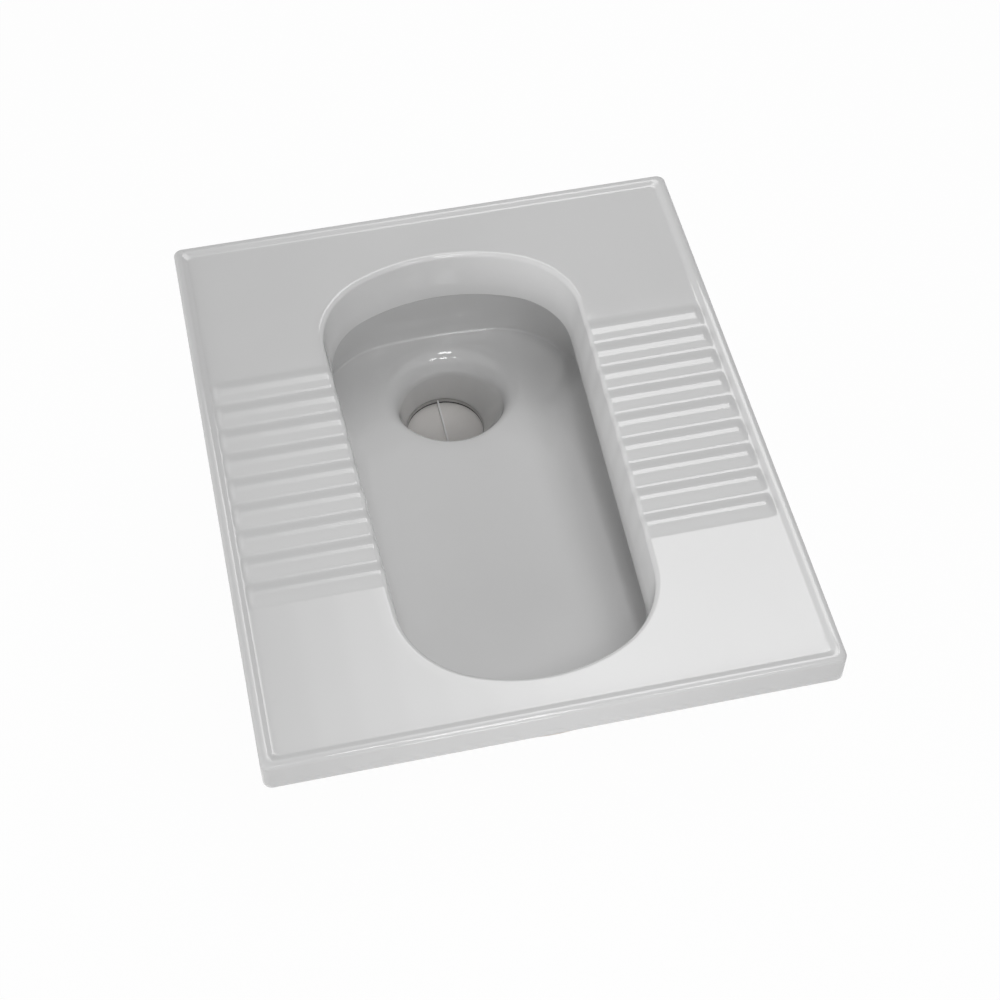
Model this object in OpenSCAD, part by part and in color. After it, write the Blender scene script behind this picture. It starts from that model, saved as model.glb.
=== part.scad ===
// Squat pan with ribbed treads, a flushing rim and a two-leaf odour trap in its outlet.
// Millimetres. +Z is up, +Y points to the rear of the pan, where the outlet and flush inlet are.
// The origin is under the centre of the pan, level with the lower end of the outlet seal.

/* [Pan] */
// Overall width
pan_w = 500; // [490:1:560]
// Overall length
pan_l = 600; // [590:1:680]
// Radius of the four corners in plan
corner_r = 8; // [5:0.5:16]
// Height of the skirt round the edge
skirt_h = 31; // [26:1:42]
// Thickness of the fired clay
clay_t = 10; // [8:0.5:11]
// Rounding of the skirt's upper edge
edge_r = 3.5; // [2:0.5:4.5]

/* [Raised lip] */
// Height of the lip above the deck
lip_rise = 2.5; // [1.5:0.5:5]
// Width of the lip, from the skirt to where its inner slope starts
lip_w = 7; // [6:0.5:10]
// Width of the lip's inner slope
lip_slope = 6; // [3:0.5:10]
// Radius of the deck's corners inside the lip
deck_corner_r = 6; // [4:0.5:12]

/* [Bowl opening] */
// Half width at the rear of the opening
opening_rear_w = 118.5; // [112:0.5:124]
// Half width at the front of the opening
opening_front_w = 108.5; // [102:0.5:116]
// Length of the deck behind the opening, with its lip
rear_deck_l = 68; // [66:1:74]
// Length of the deck in front of the opening, with its lip
front_deck_l = 45.5; // [44:0.5:60]
// Radius of the two rear corners of the opening
rear_corner_r = 73.5; // [68:0.5:85]
// Radius of the two front corners of the opening
front_corner_r = 78.5; // [70:0.5:90]
// Radius of the shallow arc across the rear end
rear_end_r = 183.5; // [165:0.5:220]
// Radius of the shallow arc across the front end
front_end_r = 148.5; // [135:0.5:200]
// Rounding from the deck down into the opening
opening_edge_r = 9; // [5:0.5:12]

/* [Treads] */
// Number of ribs on each tread
rib_count = 9; // [7:1:9]
// Distance from one rib to the next
rib_pitch = 29.3; // [24:0.1:29.5]
// Height of a rib above the deck
rib_h = 3; // [2:0.5:5]
// Length of a rib's steeper rear slope
rib_rise_l = 13; // [9:0.5:15]
// Distance of the treads' rear edge forward of the opening's rear end
tread_setback = 110; // [106:1:122]
// Width of the strip outside each tread, with its lip
tread_margin = 14; // [14:0.5:22]

/* [Flushing rim] */
// Depth of the rim's lower edge below the lip
rim_depth = 57; // [52:1:62]
// Width of the hollow rim behind the opening's wall
rim_box_w = 32; // [30:0.5:33]
// Thickness of the rim wall that the flush water runs behind
curtain_t = 8; // [6:0.5:8]
// Width of the flush channel
channel_w = 13; // [10:0.5:14]
// Depth of the flush channel's roof below the lip
channel_roof = 24; // [20:0.5:26]
// Depth of the flush channel's floor below the lip
channel_floor = 50; // [44:0.5:51]
// Width of the slot that lets the water down into the bowl
slot_w = 4; // [2:0.5:5]
// How far the channel runs forward of the pan's centre
channel_front_y = 150; // [60:1:150]

/* [Bowl] */
// How far the bowl is cut back under the rim at the sides
undercut = 13; // [11:0.5:16]
// How far the bowl is cut back under the rim at the front
front_undercut = 8; // [6:0.5:10]
// Radius between the bowl's walls and its floor, where the well leaves room for it
bowl_fillet_r = 42; // [30:1:48]
// Depth of the floor below the lip, at the well
floor_depth = 136; // [128:1:144]
// Rise of the scooped floor from the well to the front wall
floor_rise = 39; // [20:1:45]
// How far the bowl is cut back under the rim at the rear
rear_undercut = 13; // [11:0.5:15]
// Radius of the rear wall, which is nearly flat
rear_wall_r = 600; // [400:10:900]

/* [Well and outlet] */
// Distance of the well's lip forward of the opening's rear end
well_setback = 66; // [60:1:72]
// Radius of the well just below its rounded lip
well_r = 53; // [50:0.5:58]
// Rounding of the well's lip
well_lip_r = 11; // [6:0.5:14]
// Distance of the outlet forward of the opening's rear end
outlet_setback = 25; // [20:1:32]
// Radius of the throat above the trap
throat_r = 43; // [41:0.5:44.5]
// Depth of the outlet's end below the lip
outlet_depth = 262; // [256:1:280]
// Outer radius of the outlet spigot
spigot_r = 54; // [54:0.5:56]
// Radius of the socket for the trap, inside the spigot
socket_r = 46.5; // [46:0.5:47.5]
// Length of the socket for the trap
socket_l = 30; // [28:0.5:36]

/* [Flush inlet] */
// Radius of the bore for the flush seal
inlet_bore_r = 20; // [18:0.5:21]
// Wall of the inlet horn
inlet_wall = 8; // [6:0.5:8]
// Depth of the inlet's axis below the lip
inlet_depth = 60; // [60:0.5:64]
// Distance of the horn's end inside the skirt's rear face
inlet_setback = 14; // [14:0.5:18]
// Radius of the flush pipe
flush_pipe_r = 16; // [14:0.5:17]
// Length of the seal inside the horn
inlet_seal_l = 24; // [18:0.5:26]

/* [Odour trap] */
// Wall of the trap's tube
trap_wall = 3.5; // [3:0.1:3.6]
// Width of the ring that the leaves close against
seat_w = 2; // [1.5:0.1:2.4]
// Thickness of that ring
seat_t = 4; // [3:0.5:5]
// Thickness of the rubber gasket under the ring
gasket_t = 2; // [1.5:0.1:2.5]
// Thickness of each leaf
leaf_t = 2.5; // [2:0.1:3]
// Radius of the hinge pin
pin_r = 1.5; // [1.2:0.1:1.6]
// Radius of the leaves' hinge knuckles
knuckle_r = 3.3; // [3:0.1:3.6]
// Length of one knuckle
knuckle_l = 8; // [6:0.5:8]
// Distance of the inner knuckles from the middle of the pin
inner_knuckle_y = 10; // [9:0.5:11]
// Distance of the outer knuckles from the middle of the pin
outer_knuckle_y = 30; // [29:0.5:31]
// Width of the bar between the two leaves
bar_w = 1.6; // [1.2:0.1:2.4]
// Diameter of the springs' wire
wire_d = 0.8; // [0.6:0.1:0.9]
// Number of turns in each spring
spring_turns = 5; // [3:1:6]
// Length of the springs' legs under the leaves
spring_leg_l = 16; // [10:1:24]
// Diameter of the two sealing rings round the tube
o_ring_d = 2.4; // [2:0.1:2.6]

/* [Outlet seal] */
// Thickness of the rubber collar round the spigot
collar_t = 4; // [3:0.5:5]
// Height of that collar above the end of the spigot
collar_h = 36; // [30:1:38]
// Length of the finned tail below the spigot
tail_l = 34; // [32:1:44]
// Radius over the fins, for the drain pipe
fin_r = 52.2; // [51.5:0.1:53.5]
// Distance from one fin to the next
fin_pitch = 7; // [6:0.5:9]
// Number of fins
fin_count = 3; // [2:1:3]
// Width of the clamp's band
band_h = 11; // [9:0.5:13]
// Thickness of the clamp's band
band_t = 0.8; // [0.6:0.1:1.2]
// Radius of the clamp's screw
screw_r = 3; // [2.5:0.1:3.2]

/* [Hidden] */
$fn = 96;
// Gap that keeps two seated pieces from touching
seat_gap = 0.3;
// Radial clearance of the hinge knuckles on their pin
running_gap = 0.05;
// Length by which a cutting shape overshoots the face it cuts
over = 1;

// Distances from the pan's centre
opening_rear_y = pan_l / 2 - rear_deck_l;
opening_front_y = pan_l / 2 - front_deck_l;
rear_wall_y = opening_rear_y + rear_undercut;
tread_rear_y = opening_rear_y - tread_setback;
tread_outer_x = pan_w / 2 - tread_margin;
well_y = opening_rear_y - well_setback;
outlet_y = opening_rear_y - outlet_setback;

// Heights are set out as depths below the top of the lip.
top = outlet_depth + tail_l;
function at(depth) = top - depth;
deck_z = at(lip_rise);
deck_under_z = deck_z - clay_t;
skirt_z = at(skirt_h);
rim_z = at(rim_depth);

// A plan outline is a list of arcs, anticlockwise: [centre x, centre y, radius, first angle, last angle].
// Straight sides join the end of one arc to the start of the next.
function box_outline(w, l, r) = let (x = w / 2 - r, y = l / 2 - r)
    [[x, y, r, 0, 90], [-x, y, r, 90, 180], [-x, -y, r, 180, 270], [x, -y, r, 270, 360]];

// The bowl's outline: a corner arc at each end of each side, and one shallow arc across each end.
function corner_centre_y(end_y, end_r, corner_r, corner_x) =
    end_y - end_r + sqrt(pow(end_r - corner_r, 2) - pow(corner_x, 2));
function bowl_outline(rear_y, front_y, rear_w, front_w, rear_r, front_r, rear_arc_r, front_arc_r) = let (
        rear_x = rear_w - rear_r,
        front_x = front_w - front_r,
        rear_cy = corner_centre_y(rear_y, rear_arc_r, rear_r, rear_x),
        front_cy = -corner_centre_y(front_y, front_arc_r, front_r, front_x),
        rear_half = asin(rear_x / (rear_arc_r - rear_r)),
        front_half = asin(front_x / (front_arc_r - front_r)),
        run = [rear_x - front_x, rear_cy - front_cy],
        side = atan2(run[1], run[0]) - acos((front_r - rear_r) / norm(run)))
    [[rear_x, rear_cy, rear_r, side, 90 - rear_half],
     [0, rear_y - rear_arc_r, rear_arc_r, 90 - rear_half, 90 + rear_half],
     [-rear_x, rear_cy, rear_r, 90 + rear_half, 180 - side],
     [-front_x, front_cy, front_r, 180 - side, 270 - front_half],
     [0, front_arc_r - front_y, front_arc_r, 270 - front_half, 270 + front_half],
     [front_x, front_cy, front_r, 270 + front_half, 360 + side]];

// A point on an arc at angle a, with the outline grown by g
function on_arc(arc, a, g = 0) = [arc[0], arc[1]] + (arc[2] + g) * [cos(a), sin(a)];
// Where the tangents at the two ends of an arc meet
function arc_corner(arc, g) = let (half = (arc[4] - arc[3]) / 2)
    [arc[0], arc[1]] + (arc[2] + g) / cos(half) * [cos(arc[3] + half), sin(arc[3] + half)];

// The area inside an outline that is grown by g
module area(outline, g = 0) {
    polygon([for (arc = outline) for (a = [arc[3], arc[4]]) on_arc(arc, a, g)]);
    for (arc = outline) {
        intersection() {
            translate([arc[0], arc[1]]) circle(r = arc[2] + g);
            polygon([on_arc(arc, arc[3], g), arc_corner(arc, g), on_arc(arc, arc[4], g)]);
        }
    }
}

// Carries a profile round an outline. The profile's x is the distance outside the outline.
module carry_round(outline) {
    for (i = [0 : len(outline) - 1]) {
        arc = outline[i];
        next = outline[(i + 1) % len(outline)];
        side_end = on_arc(next, next[3]);
        side_l = norm(side_end - on_arc(arc, arc[4]));
        translate([arc[0], arc[1]])
            rotate_extrude(angle = arc[4] - arc[3], start = arc[3])
                translate([arc[2], 0]) children();
        if (side_l > 0.01) {
            translate([side_end[0], side_end[1]]) rotate([90, 0, arc[4]])
                linear_extrude(side_l) children();
        }
    }
}

// What is cut away to round an upper edge: the corner is at [0, z], and solid lies beyond x = 0
module edge_cut(r, z) {
    difference() {
        translate([-over, z - r]) square([r + over, r + over]);
        translate([r, z - r]) circle(r);
    }
}

plan = box_outline(pan_w, pan_l, corner_r);
deck_inset = 2 * (lip_w + lip_slope);
deck = box_outline(pan_w - deck_inset, pan_l - deck_inset, deck_corner_r);
hollow = box_outline(pan_w - 2 * clay_t, pan_l - 2 * clay_t, corner_r);
opening = bowl_outline(opening_rear_y, opening_front_y, opening_rear_w, opening_front_w,
    rear_corner_r, front_corner_r, rear_end_r, front_end_r);
bowl = bowl_outline(rear_wall_y, opening_front_y + front_undercut,
    opening_rear_w + undercut, opening_front_w + undercut, rear_corner_r + undercut,
    front_corner_r + front_undercut, rear_wall_r, front_end_r + front_undercut);

// Skirt, raised lip and deck, open underneath
module deck_plate() {
    difference() {
        translate([0, 0, skirt_z]) linear_extrude(skirt_h) area(plan);
        carry_round(plan) mirror([1, 0]) edge_cut(edge_r, top);
        translate([0, 0, deck_z]) linear_extrude(lip_rise + over) area(deck);
        carry_round(deck)
            polygon([[0, deck_z], [lip_slope, top], [lip_slope, top + over],
                     [-over, top + over], [-over, deck_z]]);
        translate([0, 0, skirt_z - over]) linear_extrude(deck_under_z - skirt_z + over) area(hollow);
    }
}

// One rib: a steep rise at its rear foot, a round crest and a long fall to its front foot
rib_steps = 7;
function rib_profile(rear_y) = concat(
    [for (i = [0 : rib_steps]) let (s = i / rib_steps)
        [rear_y - s * rib_rise_l, rib_h * (1 - cos(180 * s)) / 2]],
    [for (i = [1 : rib_steps - 1]) let (s = i / rib_steps)
        [rear_y - rib_rise_l - s * (rib_pitch - rib_rise_l), rib_h * pow(cos(90 * s), 1.4)]]);

// The ribs of the right-hand tread, from the bowl's edge outwards
rib_end_r = rib_h + 2;
rib_foot_gap = 0.3;
module tread() {
    tread_l = rib_count * rib_pitch;
    crest_z = deck_z + rib_h;
    side = opening[0][3];
    side_start = on_arc(opening[5], opening[5][4], rib_foot_gap);
    side_l = norm(on_arc(opening[0], side, rib_foot_gap) - side_start);
    difference() {
        translate([opening_front_w / 2, 0, deck_z]) rotate([90, 0, 90])
            linear_extrude(tread_outer_x - opening_front_w / 2)
                polygon(concat([for (i = [0 : rib_count - 1]) each rib_profile(tread_rear_y - i * rib_pitch)],
                    [[tread_rear_y - tread_l, 0], [tread_rear_y - tread_l, -opening_edge_r],
                     [tread_rear_y, -opening_edge_r]]));
        // Rounded down into the bowl, along the opening's straight side
        translate([side_start[0], side_start[1]]) rotate([90, 0, side]) mirror([0, 0, 1])
            linear_extrude(side_l) {
                edge_cut(opening_edge_r + rib_h, crest_z);
                translate([-opening_front_w, 0]) square([opening_front_w, crest_z + over]);
            }
        // Rounded down to the deck at the outer end
        translate([tread_outer_x, tread_rear_y + over]) rotate([90, 0, 0]) linear_extrude(tread_l + 2 * over)
            mirror([1, 0]) edge_cut(rib_end_r, crest_z);
    }
}

// The points of a ring round the bowl: arc_steps to an arc, and side_steps along each straight side
arc_steps = 9;
side_steps = 7;
function ring_points(outline, g) = [for (i = [0 : len(outline) - 1]) let (
        arc = outline[i],
        next = outline[(i + 1) % len(outline)],
        side_from = on_arc(arc, arc[4], g),
        side_to = on_arc(next, next[3], g))
    each concat(
        [for (k = [0 : arc_steps - 1]) on_arc(arc, arc[3] + (arc[4] - arc[3]) * k / arc_steps, g)],
        norm(side_to - side_from) < 0.01 ? [] :
            [for (k = [0 : side_steps - 1]) side_from + (side_to - side_from) * k / side_steps])];

// Rings of the opening, of the bowl under it and of the well, each at its own height
function opening_ring(g, z) = [for (p = ring_points(opening, g)) [p[0], p[1], z]];
function bowl_ring(g, z) = [for (p = ring_points(bowl, g)) [p[0], p[1], z]];
function fall(y) = floor_rise * pow((well_y - y) / (well_y + opening_front_y), 2);
function well_ring(centre_y, r, z, falls) = [for (p = ring_points(bowl, 0))
    let (a = atan2(p[1] - well_y, p[0]), y = centre_y + r * sin(a)) [r * cos(a), y, z + falls * fall(y)]];

// The fillet under the bowl's wall, g outside it. It tightens behind the well, which is close to the wall.
fillet_gap = 2;
function fillet_r(p) = min(bowl_fillet_r, norm([p[0], p[1] - well_y]) - well_r - well_lip_r - fillet_gap);
function fillet_ring(g, a) = let (wall = ring_points(bowl, 0), unit = ring_points(bowl, 1))
    [for (i = [0 : len(wall) - 1]) let (
            r = fillet_r(wall[i]),
            p = wall[i] + (unit[i] - wall[i]) * ((r + g) * cos(a) - r))
        [p[0], p[1], at(floor_depth) + fall(p[1]) + r - (r + g) * sin(a)]];
function fillet_rings(g, steps) = [for (i = [0 : steps]) fillet_ring(g, 90 * i / steps)];

// Rings across the scooped floor, from the fillet's foot in to the well's lip
function floor_ring(share) = let (
        foot = fillet_ring(0, 90),
        lip = well_ring(well_y, well_r + well_lip_r, 0, 0))
    [for (i = [0 : len(foot) - 1]) let (p = foot[i] + (lip[i] - foot[i]) * share)
        [p[0], p[1], at(floor_depth) + fall(p[1])]];

// Closes a stack of rings, from the top one down, into a solid
module skin(rings) {
    n = len(rings[0]);
    last = (len(rings) - 1) * n;
    walls = [for (i = [0 : len(rings) - 2]) for (k = [0 : n - 1]) let (
            a = i * n + k,
            b = i * n + (k + 1) % n)
        each [[a, b, b + n], [a, b + n, a + n]]];
    polyhedron([for (ring = rings) each ring],
        concat(walls, [[for (k = [n - 1 : -1 : 0]) k]], [[for (k = [0 : n - 1]) last + k]]));
}

// The well ends in a narrow ledge at the top of the throat.
throat_l = 7;
throat_ledge = 0.6;
throat_top_z = at(outlet_depth - socket_l - throat_l);

// All that the bowl hollows out, from its rounded edge at the deck down to the throat
module bowl_space() {
    edge_steps = 6;
    rim_edge_r = 3;
    edge_rings = [for (i = [0 : edge_steps]) let (a = 90 * i / edge_steps)
        opening_ring(opening_edge_r * (1 - sin(a)), deck_z - opening_edge_r * (1 - cos(a)))];
    rim_rings = [for (a = [0, 30, 60, 90])
        opening_ring(rim_edge_r * (1 - cos(a)), rim_z + rim_edge_r * (1 - sin(a)))];
    lip_rings = [for (a = [0 : 18 : 90])
        well_ring(well_y, well_r + well_lip_r * (1 - sin(a)),
                  at(floor_depth) - well_lip_r * (1 - cos(a)), 1)];
    floor_rings = [for (share = [0.25, 0.5, 0.75]) floor_ring(share)];
    skin(concat([opening_ring(opening_edge_r, top + over)], edge_rings, rim_rings,
        [bowl_ring(0, rim_z)], fillet_rings(0, 7), floor_rings, lip_rings,
        [well_ring(outlet_y, throat_r + throat_ledge, throat_top_z, 0)]));
}

// The clay round the bowl and the well
module bowl_shell() {
    skin(concat([bowl_ring(clay_t, rim_z + over)], fillet_rings(clay_t, 6),
        [well_ring(well_y, well_r + clay_t, at(floor_depth) - clay_t - well_lip_r, 1),
         well_ring(outlet_y, throat_r + clay_t, throat_top_z, 0)]));
}

// A ring of height h behind the rim's wall, w wide
module rim_ring(w, h) {
    linear_extrude(h) difference() {
        area(opening, curtain_t + w);
        area(opening, curtain_t);
    }
}

// The channel behind the rim's wall, and the slot under it
module flush_channel() {
    intersection() {
        union() {
            translate([0, 0, at(channel_floor)]) rim_ring(channel_w, channel_floor - channel_roof);
            translate([0, 0, rim_z - over]) rim_ring(slot_w, rim_depth - channel_floor + 2 * over);
        }
        translate([-pan_w / 2, -channel_front_y, 0]) cube([pan_w, channel_front_y + pan_l / 2, top]);
    }
}

// Where the inlet joins the channel
inlet_z = at(inlet_depth);
inlet_end_y = pan_l / 2 - inlet_setback;
chamber_w = 120;
chamber_rear_y = opening_rear_y + curtain_t + channel_w + clay_t + 3;
module inlet_body() {
    block_w = chamber_w + 2 * clay_t;
    block_l = chamber_rear_y + clay_t - opening_rear_y;
    translate([-block_w / 2, opening_rear_y, inlet_z - inlet_bore_r - inlet_wall])
        cube([block_w, block_l, deck_under_z + over - inlet_z + inlet_bore_r + inlet_wall]);
    translate([0, inlet_end_y, inlet_z]) rotate([90, 0, 0])
        cylinder(r = inlet_bore_r + inlet_wall, h = inlet_end_y - opening_rear_y);
}
module inlet_way() {
    translate([-chamber_w / 2, opening_rear_y + curtain_t, at(channel_floor)])
        cube([chamber_w, chamber_rear_y - opening_rear_y - curtain_t, channel_floor - channel_roof]);
    translate([0, inlet_end_y + over, inlet_z]) rotate([90, 0, 0])
        cylinder(r = inlet_bore_r, h = inlet_end_y + over - rear_wall_y - clay_t - 2);
}

// The glazed casting: deck, treads, rim, bowl, well, outlet spigot and inlet horn
module pan() color("whitesmoke") {
    difference() {
        union() {
            deck_plate();
            translate([0, 0, rim_z]) linear_extrude(deck_under_z + over - rim_z) area(opening, rim_box_w);
            bowl_shell();
            in_outlet(outlet_depth) cylinder(r = spigot_r, h = throat_top_z + over - at(outlet_depth));
            inlet_body();
        }
        bowl_space();
        in_outlet(outlet_depth) cylinder(r = throat_r, h = throat_top_z + over / 2 - at(outlet_depth));
        in_outlet(outlet_depth + over) cylinder(r = socket_r, h = socket_l + over);
        flush_channel();
        inlet_way();
    }
    tread();
    mirror([1, 0, 0]) tread();
}

// Rubber sleeve that the flush pipe pushes into
flange_r = inlet_bore_r + 6;
flange_t = 3;
module inlet_seal() color("dimgray") {
    translate([0, inlet_end_y + seat_gap, inlet_z]) rotate([90, 0, 0]) difference() {
        union() {
            cylinder(r = inlet_bore_r - seat_gap, h = inlet_seal_l);
            translate([0, 0, -flange_t]) cylinder(r = flange_r, h = flange_t);
        }
        translate([0, 0, -flange_t - over])
            cylinder(r = flush_pipe_r + 0.1, h = inlet_seal_l + flange_t + 2 * over);
    }
}

// The trap's parts are set out downwards from the shoulder at the top of its socket.
trap_top_depth = outlet_depth - socket_l + seat_gap;
trap_r = socket_r - 0.4;
trap_bore_r = trap_r - trap_wall;
seat_r = trap_bore_r - seat_w;
gasket_depth = trap_top_depth + seat_t;
leaf_depth = gasket_depth + gasket_t + seat_gap;
pin_depth = leaf_depth + leaf_t + knuckle_r + seat_gap;
trap_flange_t = 3;
trap_flange_r = spigot_r - 2.5;
trap_end_depth = outlet_depth + seat_gap + trap_flange_t;
o_ring_depths = [pin_depth - 7, pin_depth + 11];
notch_h = seat_t - 1;
bar_foot_r = seat_r + 1.4;

// Places a part on the outlet's axis, at a depth below the lip
module in_outlet(depth) {
    translate([0, outlet_y, at(depth)]) children();
}

// Lays a part along the hinge pin, centred at y on it
module on_pin(y, l) {
    in_outlet(pin_depth) translate([0, y + l / 2, 0]) rotate([90, 0, 0]) children();
}

// Tube with a seat ring at its top, a flange at its foot and two holes for the pin
module trap_body() color("lightgray") {
    difference() {
        union() {
            in_outlet(trap_end_depth) cylinder(r = trap_r, h = trap_end_depth - trap_top_depth);
            in_outlet(trap_end_depth) cylinder(r = trap_flange_r, h = trap_flange_t);
        }
        in_outlet(trap_end_depth + over) cylinder(r = trap_bore_r, h = trap_end_depth + over - gasket_depth);
        in_outlet(gasket_depth + over) cylinder(r = seat_r, h = seat_t + 2 * over);
        in_outlet(gasket_depth) translate([-bar_w / 2 - running_gap, -bar_foot_r - running_gap, -over])
            cube([bar_w + 2 * running_gap, 2 * (bar_foot_r + running_gap), notch_h + over]);
        on_pin(0, 2 * trap_r + 2 * over) cylinder(r = pin_r + running_gap, h = 2 * trap_r + 2 * over);
        for (depth = o_ring_depths) {
            in_outlet(depth) rotate_extrude() translate([trap_r - o_ring_d + 0.1, -o_ring_d / 2 - 0.2])
                square([o_ring_d, o_ring_d + 0.4]);
        }
    }
}

// The two rings that seal the tube in its socket
module trap_o_rings() color("black") {
    for (depth = o_ring_depths) {
        in_outlet(depth) rotate_extrude() translate([trap_r - o_ring_d / 2 + 0.2, 0])
            circle(d = o_ring_d - 0.2);
    }
}

// Rubber ring under the seat
module seat_gasket() color("dimgray") {
    in_outlet(gasket_depth + gasket_t) difference() {
        cylinder(r = trap_bore_r - seat_gap, h = gasket_t);
        translate([0, 0, -over]) cylinder(r = seat_r + 0.2, h = gasket_t + 2 * over);
    }
}

// Bar across the seat, between the two leaves
module bridge_bar() color("white") {
    in_outlet(gasket_depth) translate([-bar_w / 2, -bar_foot_r, 0]) cube([bar_w, 2 * bar_foot_r, notch_h]);
    in_outlet(gasket_depth + gasket_t) translate([-bar_w / 2, -seat_r + 0.1, 0])
        cube([bar_w, 2 * (seat_r - 0.1), gasket_t]);
}

// One leaf of the flap, on the left of the pin: a half disc with stiffening ribs and two knuckles
leaf_r = trap_bore_r - 0.8;
leaf_split = 0.4;
leaf_rib_h = 2.4;
module leaf() {
    plate_z = knuckle_r + seat_gap;
    in_outlet(pin_depth) {
        intersection() {
            translate([0, 0, plate_z]) cylinder(r = leaf_r, h = leaf_t);
            translate([-leaf_split - leaf_r, -leaf_r, plate_z]) cube([leaf_r, 2 * leaf_r, leaf_t]);
        }
        for (y = [-0.5, 0.5] * leaf_r) {
            translate([-leaf_r * 0.8, y - 0.8, plate_z - leaf_rib_h])
                cube([leaf_r * 0.66, 1.6, leaf_rib_h + over / 2]);
        }
    }
    for (y = [-outer_knuckle_y, inner_knuckle_y]) {
        difference() {
            union() {
                on_pin(y, knuckle_l) cylinder(r = knuckle_r, h = knuckle_l);
                in_outlet(pin_depth) translate([-knuckle_r, y - knuckle_l / 2, 0])
                    cube([knuckle_r - leaf_split, knuckle_l, plate_z + over / 2]);
            }
            on_pin(y, knuckle_l + 2 * over) cylinder(r = pin_r + running_gap, h = knuckle_l + 2 * over);
        }
    }
}
module left_flap() color("lightgray") leaf();
module right_flap() color("lightgray")
    translate([0, 2 * outlet_y, 0]) rotate([0, 0, 180]) leaf();

// Hinge pin, held in the tube's wall
module flap_pin() color("silver") {
    pin_l = 2 * trap_r - 0.6;
    on_pin(0, pin_l) cylinder(r = pin_r, h = pin_l);
}

// Plastic sleeves that keep the knuckles in their places on the pin
module pin_spacers() color("white") {
    inner_l = 2 * inner_knuckle_y - knuckle_l - 2 * seat_gap;
    outer_start = outer_knuckle_y + knuckle_l / 2 + seat_gap;
    outer_l = trap_bore_r - seat_gap - 0.2 - outer_start;
    for (sleeve = [[0, inner_l], [outer_start + outer_l / 2, outer_l], [-outer_start - outer_l / 2, outer_l]]) {
        on_pin(sleeve[0], sleeve[1]) difference() {
            cylinder(r = knuckle_r - 0.8, h = sleeve[1]);
            translate([0, 0, -over]) cylinder(r = pin_r + 0.1, h = sleeve[1] + 2 * over);
        }
    }
}

// One closing spring: turns round the pin, and a leg that lies under its leaf
spring_r = pin_r + wire_d / 2 + 0.5;
spring_l = 7;
wire_sides = 6;
steps_a_turn = 12;
wire_gap = spring_l / spring_turns - wire_d;
leg_rise = knuckle_r - wire_d / 2 - spring_r;
coil_steps = spring_turns * steps_a_turn;
spring_path = concat(
    [for (i = [0 : coil_steps]) let (a = 90 - 360 * i / steps_a_turn)
        [spring_r * cos(a), spring_l * (i / coil_steps - 0.5), spring_r * sin(a)]],
    [for (i = [1 : 4]) let (s = i / 4) [-spring_leg_l * s, spring_l / 2, spring_r + leg_rise * s]]);
// A ring of the wire's outline, square to the way that the path runs there
function wire_ring(path, i) = let (
        ahead = path[min(i + 1, len(path) - 1)] - path[max(i - 1, 0)],
        way = ahead / norm(ahead),
        side = cross(way, [0, 1, 0.0001]),
        across = side / norm(side),
        up = cross(way, across))
    [for (k = [0 : wire_sides - 1]) path[i] + wire_d / 2 * (cos(k * 60) * across + sin(k * 60) * up)];
module wire(path) {
    skin([for (i = [0 : len(path) - 1]) wire_ring(path, i)]);
}
module left_flap_spring() color("silver")
    in_outlet(pin_depth) translate([0, (inner_knuckle_y + outer_knuckle_y) / 2, 0]) wire(spring_path);
module right_flap_spring() color("silver")
    translate([0, 2 * outlet_y, 0]) rotate([0, 0, 180]) left_flap_spring();
echo(least_gap_between_spring_turns = wire_gap);

// Rubber seal: a collar on the spigot, a ledge that holds the trap up, and a finned tail for the drain pipe
tail_r = trap_flange_r - 2.5;
tail_wall = 3.5;
ledge_t = 4;
module outlet_seal() color("dimgray") {
    ledge_depth = trap_end_depth + seat_gap;
    collar_l = collar_h + ledge_depth + ledge_t - outlet_depth;
    difference() {
        union() {
            in_outlet(ledge_depth + ledge_t) cylinder(r = spigot_r + seat_gap + collar_t, h = collar_l);
            in_outlet(top) cylinder(r = tail_r, h = tail_l);
            for (i = [0 : fin_count - 1]) {
                in_outlet(top - 3 - i * fin_pitch) cylinder(r = fin_r, h = 1.6);
            }
        }
        in_outlet(ledge_depth) cylinder(r = spigot_r + seat_gap, h = collar_l);
        in_outlet(top + over) cylinder(r = tail_r - tail_wall, h = tail_l + 2 * over);
    }
}

// Worm-drive clamp round the collar
band_r = spigot_r + seat_gap + collar_t + seat_gap;
band_depth = outlet_depth - collar_h / 2 + band_h / 2;
housing = [7, 14, band_h];
screw_x = band_r + band_t + seat_gap + housing[0] / 2;
module clamp_band() color("silver") {
    in_outlet(band_depth) difference() {
        cylinder(r = band_r + band_t, h = band_h);
        translate([0, 0, -over]) cylinder(r = band_r, h = band_h + 2 * over);
    }
}
module clamp_housing() color("silver") {
    in_outlet(band_depth) difference() {
        translate([screw_x - housing[0] / 2, -housing[1] / 2, 0]) cube(housing);
        translate([screw_x, housing[1], band_h / 2]) rotate([90, 0, 0])
            cylinder(r = screw_r, h = 2 * housing[1]);
    }
}
module clamp_screw() color("silver") {
    head_l = 5;
    in_outlet(band_depth) translate([screw_x, housing[1] / 2 + 2, band_h / 2]) rotate([90, 0, 0]) {
        cylinder(r = screw_r - running_gap, h = housing[1] + 3);
        difference() {
            translate([0, 0, housing[1] + 3]) cylinder(r = screw_r + 1.4, h = head_l, $fn = 6);
            translate([-over / 2, -screw_r - 2, housing[1] + 3 + head_l - 2])
                cube([over, 2 * screw_r + 4, 2 + over]);
        }
    }
}

pan();
inlet_seal();
trap_body();
trap_o_rings();
seat_gasket();
bridge_bar();
left_flap();
right_flap();
flap_pin();
pin_spacers();
left_flap_spring();
right_flap_spring();
outlet_seal();
clamp_band();
clamp_housing();
clamp_screw();
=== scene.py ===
import math

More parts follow.
